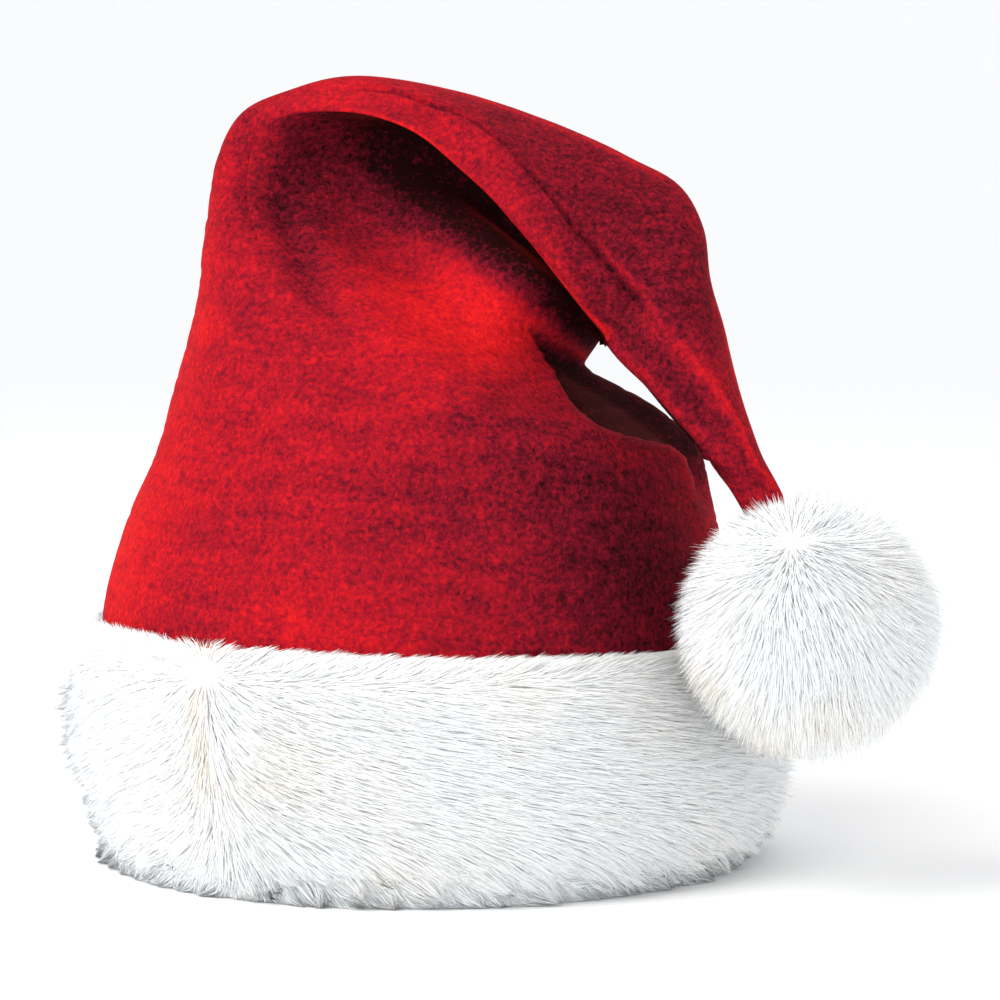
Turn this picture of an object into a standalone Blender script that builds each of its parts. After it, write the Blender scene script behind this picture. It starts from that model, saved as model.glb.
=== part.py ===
"""A santa hat standing on its fur brim. It has a plush crown whose top folds over and hangs down to the
right, a fur brim and a fur pompom on the tip. Metres, +Z up, the front towards -Y. The origin is the middle
of the base of the whole hat."""

import math
import random
from collections import namedtuple

import bmesh
import bpy
import numpy as np
from mathutils import Matrix, Vector

# Cloth and clearances
CLOTH = 0.002  # thickness of the plush cloth
GAP = 0.0003  # clearance between pieces that touch
ACROSS = 4  # facets of the crown between two knots of a section
ALONG = 0.0128  # longest facet between two rings of the crown
TIP_POINT = 0.0015  # how far the closed end of the tail stands out

# Brim
BRIM_BULGE = 0.0135  # how far the fur stands out from the crown
BRIM_LOCK = 0.0055  # height of a lock above the band
BRIM_ROWS = 9  # rows of locks
HEM_HEIGHT = 0.0040  # the crown's hem above the floor
LIP_HEIGHT = 0.0140  # the turned-up inner edge of the band
LIP_WALL = 0.0032
LIP_SLOPE = 0.8  # height of the lip's far side, in parts of its height
BRIM_UNEVEN = 0.30  # how much the locks differ in height
BRIM_LOCK_LEAN = 0.75  # how far a lock leans over, in parts of its width
BRIM_SCATTER = 0.12  # how far the roots of the locks stray, in parts of their spacing
BRIM_SWIRL = 0.35  # how far the combing sways to the sides
BRIM_LEAN = 0.0020  # how far the foot of the band sits over to the pompom's side
BRIM_SKIN = BRIM_BULGE - 0.8 * BRIM_LOCK
# The band under the locks, from its foot to its top: distance out from the crown, and height in parts of the
# full height.
BRIM_PROFILE = (
    (0.25 * BRIM_SKIN, 0.00),
    (0.50 * BRIM_SKIN, 0.10),
    (0.84 * BRIM_SKIN, 0.27),
    (1.00 * BRIM_SKIN, 0.48),
    (0.97 * BRIM_SKIN, 0.68),
    (0.84 * BRIM_SKIN, 0.84),
    (0.56 * BRIM_SKIN, 0.95),
    (0.20 * BRIM_SKIN, 0.99),
)

# Pompom
POMPOM_RADIUS = 0.0395
POMPOM_LOCK = 0.0070
POMPOM_UNEVEN = 0.22
POMPOM_LOCK_LEAN = 0.40
POMPOM_BARE = math.radians(24)  # no locks this near to the tail
POMPOM_CENTRE = Vector((0.1134, -0.0840, 0.0805))

# The crown's sections, from the hem over the fold to the tip. Each is a closed loop with an inner end on the
# side that the tail falls to, an outer end on the side that goes over the top, a mid depth, and its half
# depths behind and in front.
Section = namedtuple("Section", "name in_x in_z out_x out_z mid_y back front")
SECTIONS = (
    Section("hem", 0.0955, HEM_HEIGHT, -0.0965, HEM_HEIGHT, 0.000, 0.0910, 0.0910),
    Section("brim_top", 0.0955, 0.0705, -0.0965, 0.0745, 0.000, 0.0905, 0.0905),
    Section("lower", 0.0930, 0.0960, -0.0917, 0.0945, 0.000, 0.0865, 0.0885),
    Section("waist", 0.0905, 0.1110, -0.0833, 0.1175, 0.000, 0.0805, 0.0835),
    Section("shoulder", 0.0860, 0.1270, -0.0742, 0.1420, 0.000, 0.0730, 0.0785),
    Section("slope", 0.0740, 0.1370, -0.0690, 0.1604, 0.000, 0.0645, 0.0720),
    Section("crease_low", 0.0620, 0.1445, -0.0653, 0.1786, 0.000, 0.0560, 0.0650),
    Section("crease", 0.0537, 0.1494, -0.0633, 0.1967, 0.000, 0.0480, 0.0580),
    Section("crest_left", 0.0515, 0.1515, -0.0603, 0.2140, -0.001, 0.0410, 0.0520),
    Section("crest_rise", 0.0525, 0.1540, -0.0514, 0.2281, -0.002, 0.0350, 0.0490),
    Section("crest_round", 0.0541, 0.1565, -0.0360, 0.2353, -0.003, 0.0320, 0.0470),
    Section("crest_top", 0.0552, 0.1583, -0.0150, 0.2397, -0.005, 0.0300, 0.0450),
    Section("crest_right", 0.0560, 0.1594, 0.0130, 0.2347, -0.008, 0.0270, 0.0410),
    Section("ridge", 0.0566, 0.1602, 0.0382, 0.2262, -0.012, 0.0250, 0.0360),
    Section("ridge_end", 0.0571, 0.1607, 0.0640, 0.2149, -0.018, 0.0240, 0.0320),
    Section("corner", 0.0577, 0.1607, 0.0792, 0.2061, -0.024, 0.0220, 0.0270),
    Section("corner_end", 0.0585, 0.1597, 0.0857, 0.1940, -0.031, 0.0200, 0.0240),
    Section("tail_top", 0.0611, 0.1567, 0.0876, 0.1785, -0.038, 0.0180, 0.0210),
    Section("tail", 0.0682, 0.1488, 0.0920, 0.1610, -0.046, 0.0150, 0.0170),
    Section("tail_low", 0.0790, 0.1360, 0.0958, 0.1437, -0.054, 0.0115, 0.0130),
    Section("tail_neck", 0.0875, 0.1235, 0.1005, 0.1293, -0.061, 0.0090, 0.0095),
    Section("tail_end", 0.0935, 0.1135, 0.1055, 0.1185, -0.0660, 0.0066, 0.0066),
    Section("mouth", 0.0984, 0.1045, 0.1088, 0.1085, -0.0703, 0.0056, 0.0056),
    Section("tip", 0.1025, 0.0975, 0.1103, 0.1005, -0.0743, 0.0042, 0.0042),
)

# Where the front of a section isn't a plain oval. The share runs from the inner end (0) to the outer end
# (1), and the depth is in parts of the front half depth. Face, ridge, hollow and bulge follow each other from
# the outer end inwards.
Front = namedtuple("Front", "face ridge hollow bulge")
PLAIN_FRONT = Front((0.905, 0.588), (0.655, 0.951), (0.345, 0.951), (0.095, 0.588))
FRONTS = {
    "shoulder": Front((0.910, 0.580), (0.660, 0.940), (0.360, 0.970), (0.130, 0.640)),
    "slope": Front((0.920, 0.560), (0.720, 0.880), (0.420, 0.970), (0.170, 0.640)),
    "crease_low": Front((0.940, 0.460), (0.790, 0.720), (0.500, 0.930), (0.210, 0.680)),
    "crease": Front((0.960, 0.340), (0.860, 0.520), (0.550, 0.720), (0.220, 0.740)),
    "crest_left": Front((0.975, 0.200), (0.920, 0.300), (0.620, 0.420), (0.220, 0.800)),
    "crest_rise": Front((0.985, 0.160), (0.950, 0.270), (0.700, 0.240), (0.240, 0.840)),
    "crest_round": Front((0.985, 0.180), (0.905, 0.420), (0.740, 0.180), (0.260, 0.840)),
    "crest_top": Front((0.960, 0.280), (0.755, 0.660), (0.690, 0.160), (0.270, 0.790)),
    "crest_right": Front((0.740, 0.780), (0.110, 1.010), (0.190, 0.420), (0.090, 0.400)),
    "ridge": Front((0.640, 0.860), (0.030, 1.000), (0.060, 0.480), (0.000, 0.180)),
    "ridge_end": Front((0.580, 0.890), (0.000, 0.980), (0.010, 0.440), (-0.015, 0.080)),
    "corner": Front((0.580, 0.930), (-0.010, 0.940), (-0.030, 0.350), (-0.032, -0.120)),
    "corner_end": Front((0.600, 0.950), (0.020, 0.880), (-0.025, 0.270), (-0.035, -0.250)),
    "tail_top": Front((0.620, 0.970), (0.090, 0.850), (-0.010, 0.200), (-0.020, -0.350)),
    "tail": Front((0.660, 0.970), (0.160, 0.800), (0.000, 0.150), (0.000, -0.400)),
    "tail_low": Front((0.700, 0.960), (0.220, 0.800), (0.020, 0.250), (0.000, -0.250)),
    "tail_neck": Front((0.760, 0.930), (0.320, 0.900), (0.100, 0.500), (0.020, 0.150)),
}


def clear_scene():
    for obj in list(bpy.data.objects):
        bpy.data.objects.remove(obj, do_unlink=True)


def plush_material(name, colour, roughness):
    """A cloth or fur finish: no metal, a wide soft shine."""
    material = bpy.data.materials.new(name)
    material.use_nodes = True
    shader = material.node_tree.nodes["Principled BSDF"]
    shader.inputs["Base Color"].default_value = (*colour, 1.0)
    shader.inputs["Roughness"].default_value = roughness
    shader.inputs["Metallic"].default_value = 0.0
    material.diffuse_color = (*colour, 1.0)
    return material


def add_object(name, bm, material):
    bmesh.ops.recalc_face_normals(bm, faces=bm.faces[:])
    mesh = bpy.data.meshes.new(name)
    bm.to_mesh(mesh)
    bm.free()
    mesh.shade_smooth()
    mesh.materials.append(material)
    obj = bpy.data.objects.new(name, mesh)
    bpy.context.scene.collection.objects.link(obj)
    return obj


def curve_point(before, start, end, after, share):
    """Centripetal Catmull-Rom for arrays of points: the point at this share from start to end."""
    gaps = [
        np.sqrt(np.linalg.norm(b - a, axis=-1, keepdims=True)) + 1e-9
        for a, b in ((before, start), (start, end), (end, after))
    ]
    t0 = 0.0
    t1 = t0 + gaps[0]
    t2 = t1 + gaps[1]
    t3 = t2 + gaps[2]
    t = t1 + (t2 - t1) * share
    a1 = (t1 - t) / (t1 - t0) * before + (t - t0) / (t1 - t0) * start
    a2 = (t2 - t) / (t2 - t1) * start + (t - t1) / (t2 - t1) * end
    a3 = (t3 - t) / (t3 - t2) * end + (t - t2) / (t3 - t2) * after
    b1 = (t2 - t) / (t2 - t0) * a1 + (t - t0) / (t2 - t0) * a2
    b2 = (t3 - t) / (t3 - t1) * a2 + (t - t1) / (t3 - t1) * a3
    return (t2 - t) / (t2 - t1) * b1 + (t - t1) / (t2 - t1) * b2


def section_knots(section):
    """The nine knots of a section: inner end, three behind, outer end, and the four of its front."""
    inner = np.array((section.in_x, 0.0, section.in_z))
    outer = np.array((section.out_x, 0.0, section.out_z))
    front = FRONTS.get(section.name, PLAIN_FRONT)
    behind = [
        ((1 - math.cos(math.radians(turn))) / 2, math.sin(math.radians(turn)) * section.back)
        for turn in (0, 45, 90, 135, 180)
    ]
    ahead = [(share, -depth * section.front) for share, depth in front]
    return np.array(
        [
            inner + (outer - inner) * share + np.array((0.0, section.mid_y + depth, 0.0))
            for share, depth in behind + ahead
        ]
    )


def crown_rings():
    """The rings of the crown's outer face from the hem to the tip, and how many of them the brim covers."""
    knots = np.array([section_knots(section) for section in SECTIONS])
    padded = np.concatenate([[2 * knots[0] - knots[1]], knots, [2 * knots[-1] - knots[-2]]])
    lines = []
    covered = 0
    for k, section in enumerate(SECTIONS[:-1]):
        if section.name == "brim_top":
            covered = len(lines) + 1
        reach = np.linalg.norm(knots[k + 1] - knots[k], axis=-1).max()
        steps = max(1, round(reach / ALONG))
        for step in range(steps):
            lines.append(curve_point(*padded[k : k + 4], step / steps))
    lines.append(knots[-1])
    rings = []
    for line in lines:
        ring = []
        count = len(line)
        for j in range(count):
            around = [line[(j + offset) % count] for offset in (-1, 0, 1, 2)]
            ring += [curve_point(*around, step / ACROSS) for step in range(ACROSS)]
        rings.append([Vector(point) for point in ring])
    return rings, covered


def skin(bm, rings):
    """Quads between neighbouring rings. It gives lists of the vertices and of the bands' faces."""
    verts = [[bm.verts.new(point) for point in ring] for ring in rings]
    bands = []
    for lower, upper in zip(verts, verts[1:]):
        count = len(lower)
        bands.append(
            [
                bm.faces.new((lower[j], lower[(j + 1) % count], upper[(j + 1) % count], upper[j]))
                for j in range(count)
            ]
        )
    return verts, bands


def swell(ring, distance):
    """A ring with its points moved this far away from its middle."""
    middle = sum(ring, Vector()) / len(ring)
    return [point + (point - middle).normalized() * distance for point in ring]


def build_crown(material, rings):
    """One bag of cloth, open at the hem and closed at the tip, thickened inwards."""
    bm = bmesh.new()
    verts, _ = skin(bm, rings)
    cap = bm.faces.new(verts[-1])
    bmesh.ops.poke(bm, faces=[cap], offset=TIP_POINT)
    crown = add_object("crown", bm, material)
    wall = crown.modifiers.new("cloth", "SOLIDIFY")
    wall.thickness = CLOTH
    wall.offset = -1.0
    wall.use_even_offset = False
    return crown


def grow_locks(bm, faces, combed, height, lean, uneven):
    """Draws each face out to a point that leans the way the fur is combed there."""
    for face in faces:
        out = face.normal.copy()
        reach = math.sqrt(face.calc_area())
        along = combed(face.calc_center_median(), out)
        rise = height * (1 + uneven * random.uniform(-1, 1))
        swing = out.cross(along) * random.uniform(-1, 1) * reach * uneven
        tip = bmesh.ops.poke(bm, faces=[face])["verts"][0]
        tip.co += out * rise + along * reach * lean + swing


def level_ring(ring, count, phase, distance, rise):
    """A ring of this many points, moved outwards level, with its heights multiplied by rise."""
    size = len(ring)
    points = []
    for j in range(count):
        place = (j + phase) * size / count
        first = int(place) % size
        start, end = ring[first], ring[(first + 1) % size]
        point = start.lerp(end, place - int(place))
        out = Vector((end.y - start.y, start.x - end.x, 0.0)).normalized()
        lean = BRIM_LEAN * (1 - rise) if distance > 0 else 0.0
        points.append(Vector((point.x + lean, point.y, point.z * rise)) + out * distance)
    return points


def stitch(bm, wide, narrow):
    """Triangles between a ring and one with half its points."""
    size = len(narrow)
    for j in range(size):
        left, middle, right = wide[2 * j], wide[2 * j + 1], wide[(2 * j + 2) % len(wide)]
        bm.faces.new((narrow[j], left, middle))
        bm.faces.new((narrow[j], middle, narrow[(j + 1) % size]))
        bm.faces.new((narrow[(j + 1) % size], middle, right))


def build_brim(material, rings):
    """The fur band round the hem, turned up inside it. Its outer face is rows of locks, combed downwards."""
    hem, top = rings[0], rings[-1]
    count = 2 * len(hem)
    bm = bmesh.new()
    knots = [np.array(knot) for knot in BRIM_PROFILE]
    knots = [2 * knots[0] - knots[1], *knots, 2 * knots[-1] - knots[-2]]
    outer = []
    for row in range(BRIM_ROWS + 1):
        place = row / BRIM_ROWS * (len(knots) - 3)
        first = min(int(place), len(knots) - 4)
        bulge, height = curve_point(*knots[first : first + 4], place - first)
        outer.append(level_ring(top, count, 0.5 * (row % 2), float(bulge), float(height)))
    verts, furred = skin(bm, outer)
    cell = (outer[0][1] - outer[0][0]).length
    for ring in verts[1:-1]:
        for vert in ring:
            vert.co += Vector(random.uniform(-1, 1) for _ in range(3)) * cell * BRIM_SCATTER
    inner = [swell(ring, GAP) for ring in reversed(rings)]
    foot = HEM_HEIGHT - GAP
    lip = -CLOTH - GAP
    inner[-1] = [Vector((point.x, point.y, foot)) for point in inner[-1]]
    turned_in = (
        (lip, foot),
        (lip, LIP_HEIGHT),
        (lip - LIP_WALL, LIP_HEIGHT * LIP_SLOPE),
        (lip - LIP_WALL, 0),
    )
    for distance, height in turned_in:
        inner.append([Vector((p.x, p.y, height)) for p in level_ring(hem, len(hem), 0, distance, 0)])
    inner_verts, _ = skin(bm, inner)
    for wide, narrow in ((verts[-1], inner_verts[0]), (verts[0], inner_verts[-1])):
        stitch(bm, wide, narrow)
    bm.normal_update()
    bmesh.ops.recalc_face_normals(bm, faces=bm.faces[:])

    def combed(centre, out):
        level = Vector((0.0, 0.0, 1.0)).cross(out).normalized()
        swirl = BRIM_SWIRL * math.sin(3 * math.atan2(centre.y, centre.x))
        flow = Vector((0.0, 0.0, -1.0)) + level * swirl
        return (flow - out * flow.dot(out)).normalized()

    cells = [face for band in furred for face in band]
    grow_locks(bm, cells, combed, BRIM_LOCK, BRIM_LOCK_LEAN, BRIM_UNEVEN)
    for vert in bm.verts:
        vert.co.z = max(vert.co.z, 0.0)
    return add_object("brim", bm, material)


def build_socket(rings):
    """The space that the end of the tail takes in the pompom, and its clearance."""
    bm = bmesh.new()
    middle = sum(rings[-1], Vector()) / len(rings[-1])
    deeper = (POMPOM_CENTRE - middle).normalized() * (TIP_POINT + GAP)
    floor = [point + deeper for point in rings[-1]]
    verts, _ = skin(bm, [swell(ring, GAP) for ring in rings] + [floor])
    bm.faces.new(verts[0])
    bm.faces.new(verts[-1])
    socket = add_object("tail_socket", bm, None)
    socket.hide_render = True
    socket.display_type = "WIRE"
    return socket


def build_pompom(material, tail):
    """A ball of locks, with a socket for the end of the tail."""
    core = POMPOM_RADIUS - POMPOM_LOCK
    bm = bmesh.new()
    ball = Matrix.Translation(POMPOM_CENTRE)
    bmesh.ops.create_icosphere(bm, subdivisions=3, radius=core, matrix=ball)
    bm.normal_update()
    towards_tail = (sum(tail[0], Vector()) / len(tail[0]) - POMPOM_CENTRE).normalized()
    furred = [
        face
        for face in bm.faces
        if (face.calc_center_median() - POMPOM_CENTRE).angle(towards_tail) > POMPOM_BARE
    ]

    def combed(centre, out):
        flow = -towards_tail
        return (flow - out * flow.dot(out)).normalized()

    grow_locks(bm, furred, combed, POMPOM_LOCK, POMPOM_LOCK_LEAN, POMPOM_UNEVEN)
    pompom = add_object("pompom", bm, material)
    cut = pompom.modifiers.new("socket", "BOOLEAN")
    cut.object = build_socket(tail)
    cut.solver = "EXACT"
    return pompom


def stand_on_origin():
    """Moves the whole hat so that the origin is the middle of its base."""
    points = [vert.co for obj in bpy.data.objects for vert in obj.data.vertices]
    low = Vector(map(min, zip(*points)))
    high = Vector(map(max, zip(*points)))
    for obj in bpy.data.objects:
        obj.location = (-(low.x + high.x) / 2, -(low.y + high.y) / 2, -low.z)


def main():
    random.seed(24)
    clear_scene()
    red = plush_material("red_plush", (0.58, 0.015, 0.03), 0.85)
    white = plush_material("white_fur", (0.93, 0.94, 0.95), 0.9)
    rings, covered = crown_rings()
    build_crown(red, rings)
    build_brim(white, rings[:covered])
    build_pompom(white, rings[-3:])
    stand_on_origin()


main()
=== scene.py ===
import math

import bpy
import numpy as np
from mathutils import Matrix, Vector, kdtree, noise


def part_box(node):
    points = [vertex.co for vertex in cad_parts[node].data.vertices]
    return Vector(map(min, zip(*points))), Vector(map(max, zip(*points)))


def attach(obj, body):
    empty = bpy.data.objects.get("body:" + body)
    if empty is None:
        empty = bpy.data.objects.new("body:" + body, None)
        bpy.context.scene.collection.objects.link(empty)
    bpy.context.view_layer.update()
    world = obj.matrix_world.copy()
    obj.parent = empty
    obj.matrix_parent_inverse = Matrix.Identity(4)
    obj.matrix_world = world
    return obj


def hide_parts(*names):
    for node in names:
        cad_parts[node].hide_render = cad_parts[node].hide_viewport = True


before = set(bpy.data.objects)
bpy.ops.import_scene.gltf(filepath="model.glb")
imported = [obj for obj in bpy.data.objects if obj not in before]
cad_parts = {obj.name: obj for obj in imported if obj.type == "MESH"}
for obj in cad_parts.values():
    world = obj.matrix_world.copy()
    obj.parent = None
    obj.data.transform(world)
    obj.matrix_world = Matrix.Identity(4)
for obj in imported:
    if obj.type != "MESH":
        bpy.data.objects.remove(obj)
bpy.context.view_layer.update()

# the middle of the opening, which the tables below are measured from
crownLow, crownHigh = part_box("crown")
hatMiddle = np.array((crownLow[0] + 0.0965, crownHigh[1] - 0.091, 0.0))
print("frame loaded, middle of the opening at", hatMiddle.round(4))


# helpers for arrays of points

def unit(vectors):
    return vectors / np.maximum(np.linalg.norm(vectors, axis=-1, keepdims=True), 1e-9)


def curvePoint(before, start, end, after, share):  # centripetal Catmull-Rom
    gaps = [
        np.sqrt(np.linalg.norm(b - a, axis=-1, keepdims=True)) + 1e-9
        for a, b in ((before, start), (start, end), (end, after))
    ]
    t1 = gaps[0]
    t2 = t1 + gaps[1]
    t3 = t2 + gaps[2]
    t = t1 + (t2 - t1) * share
    a1 = (t1 - t) / t1 * before + t / t1 * start
    a2 = (t2 - t) / (t2 - t1) * start + (t - t1) / (t2 - t1) * end
    a3 = (t3 - t) / (t3 - t2) * end + (t - t2) / (t3 - t2) * after
    b1 = (t2 - t) / t2 * a1 + t / t2 * a2
    b2 = (t3 - t) / (t3 - t1) * a2 + (t - t1) / (t3 - t1) * a3
    return (t2 - t) / (t2 - t1) * b1 + (t - t1) / (t2 - t1) * b2


def curveAt(knots, places, closed=False):  # points on a curve through knots, at places counted in knots
    count = len(knots)
    if closed:
        first = np.floor(places).astype(int)
        around = [knots[(first + k) % count] for k in (-1, 0, 1, 2)]
    else:
        longer = np.concatenate([[2 * knots[0] - knots[1]], knots, [2 * knots[-1] - knots[-2]]])
        first = np.minimum(np.floor(places).astype(int), count - 2)
        around = [longer[first + k] for k in (0, 1, 2, 3)]
    share = (places - first).reshape((-1,) + (1,) * (knots.ndim - 1))
    return curvePoint(*around, share)


def gridNormals(grid):  # rows of closed rings
    around = np.roll(grid, -1, axis=1) - np.roll(grid, 1, axis=1)
    along = np.gradient(grid, axis=0)
    return unit(np.cross(around, along))


def sampleGrid(grid, rows, columns):  # between the points of a grid of closed rings
    rowCount, columnCount = grid.shape[:2]
    row = np.clip(rows, 0, rowCount - 1.001)
    r, c = np.floor(row).astype(int), np.floor(columns).astype(int)
    fr, fc = (row - r)[:, None], (columns - c)[:, None]
    c0, c1 = c % columnCount, (c + 1) % columnCount
    low = grid[r, c0] * (1 - fc) + grid[r, c1] * fc
    high = grid[r + 1, c0] * (1 - fc) + grid[r + 1, c1] * fc
    return low * (1 - fr) + high * fr


def between(low, high, values):  # 0 below low, 1 above high, smooth between
    share = np.clip((values - low) / (high - low), 0, 1)
    return share * share * (3 - 2 * share)


def within(spans, values):  # 1 inside all the spans, smooth at their ends
    share = 1.0
    for low, high in spans:
        share = share * between(low, high, values)
    return share


def bell(distance, width):  # 1 in the middle, falling off to both sides
    return np.exp(-(distance / width) ** 2)


def addObject(name, data):
    added = bpy.data.objects.new(name, data)
    bpy.context.scene.collection.objects.link(added)
    return added


def makePiece(name, points, quads, triangles=(), caps=()):
    corners = np.concatenate([quads.ravel(), np.ravel(triangles), *caps])
    capSizes = [len(cap) for cap in caps]
    sizes = np.concatenate([np.full(len(quads), 4), np.full(len(triangles), 3), capSizes]).astype(int)
    mesh = bpy.data.meshes.new(name)
    mesh.vertices.add(len(points))
    mesh.vertices.foreach_set("co", np.asarray(points, np.float32).ravel())
    mesh.loops.add(len(corners))
    mesh.loops.foreach_set("vertex_index", corners.astype(np.int32))
    mesh.polygons.add(len(sizes))
    mesh.polygons.foreach_set("loop_start", (np.cumsum(sizes) - sizes).astype(np.int32))
    mesh.update(calc_edges=True)
    mesh.shade_smooth()
    return addObject(name, mesh)


def ringQuads(rowCount, columnCount):
    row, column = np.meshgrid(np.arange(rowCount - 1), np.arange(columnCount), indexing="ij")
    here = row * columnCount + column
    beside = row * columnCount + (column + 1) % columnCount
    return np.stack([here, beside, beside + columnCount, here + columnCount], axis=-1).reshape(-1, 4)


def newMaterial(name):
    material = bpy.data.materials.new(name)
    material.use_nodes = True
    tree = material.node_tree
    return material, tree, tree.nodes["Principled BSDF"]


# camera and light

photoView = {
    "eye": (0.0032, -1.1187, 0.2028),  # from the middle of the opening
    "lookAt": (0.0256, 0.0, 0.1095),
    "lens": 131.2,
    "clip": (0.02, 50.0),
}
studio = {
    "worldColour": (0.97, 0.985, 1.0),
    "worldStrength": 0.9,
    "lamps": (  # name, power, place, size, colour
        ("keyLamp", 23.0, (-1.0, -0.9, 1.4), 1.2, (1.0, 0.985, 0.96)),
        ("fillLamp", 7.0, (-0.2, -1.9, 0.45), 1.2, (1.0, 1.0, 1.0)),
    ),
    "lampsAim": (0.0, 0.0, 0.1),
    "floorTone": (0.95, 0.95, 0.95),
    "floorGlow": 0.07,
    "floorRoughness": 0.9,
    "floorSpecular": 0.1,
    "floorSides": 96,
    "innerRadii": (0.02, 1.0),
    "floorRadius": 3.2,
    "wallRadius": 6.5,
    "wallHeight": 3.6,
    "wallRings": 20,
}


def aimAt(obj, eye, target):
    obj.location = eye
    obj.rotation_euler = (Vector(target) - Vector(eye)).to_track_quat("-Z", "Y").to_euler()


def setUpCamera():
    data = bpy.data.cameras.new("photoCamera")
    data.lens = photoView["lens"]
    data.clip_start, data.clip_end = photoView["clip"]
    camera = addObject("photoCamera", data)
    aimAt(camera, hatMiddle + photoView["eye"], hatMiddle + photoView["lookAt"])
    bpy.context.scene.camera = camera


def addLamp(name, power, place, size, colour):
    data = bpy.data.lights.new(name, "AREA")
    data.energy = power
    data.size = size
    data.color = colour
    aimAt(addObject(name, data), place, studio["lampsAim"])


def makeFloor():  # a wide pale dish, flat where the hat stands
    turns = np.arange(studio["floorSides"]) * 2 * math.pi / studio["floorSides"]
    rise = np.linspace(0, math.pi / 2, studio["wallRings"])
    wide = studio["wallRadius"] - studio["floorRadius"]
    radii = np.concatenate([studio["innerRadii"], studio["floorRadius"] + wide * np.sin(rise)])[:, None]
    heights = np.concatenate([[0, 0], studio["wallHeight"] * (1 - np.cos(rise))])[:, None]
    dish = np.stack([radii * np.cos(turns), radii * np.sin(turns), heights + 0 * turns], axis=-1)
    quads = ringQuads(len(radii), len(turns))
    floor = makePiece("studioFloor", dish.reshape(-1, 3), quads, (), [np.arange(len(turns))])
    material, _, shader = newMaterial("studioFloor")
    shader.inputs["Base Color"].default_value = (*studio["floorTone"], 1.0)
    shader.inputs["Roughness"].default_value = studio["floorRoughness"]
    shader.inputs["Specular IOR Level"].default_value = studio["floorSpecular"]
    shader.inputs["Emission Color"].default_value = (1.0, 1.0, 1.0, 1.0)
    shader.inputs["Emission Strength"].default_value = studio["floorGlow"]
    floor.data.materials.append(material)
    return floor


def setUpStudio():
    scene = bpy.context.scene
    scene.view_settings.view_transform = "Standard"
    world = bpy.data.worlds.new("studioWorld")
    scene.world = world
    world.use_nodes = True
    sky = world.node_tree.nodes["Background"]
    sky.inputs["Color"].default_value = (*studio["worldColour"], 1.0)
    sky.inputs["Strength"].default_value = studio["worldStrength"]
    for lamp in studio["lamps"]:
        addLamp(*lamp)
    floor = makeFloor()


setUpCamera()
setUpStudio()
print("camera and studio light set")


# crown: the plush bag, folded over to the right

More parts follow.
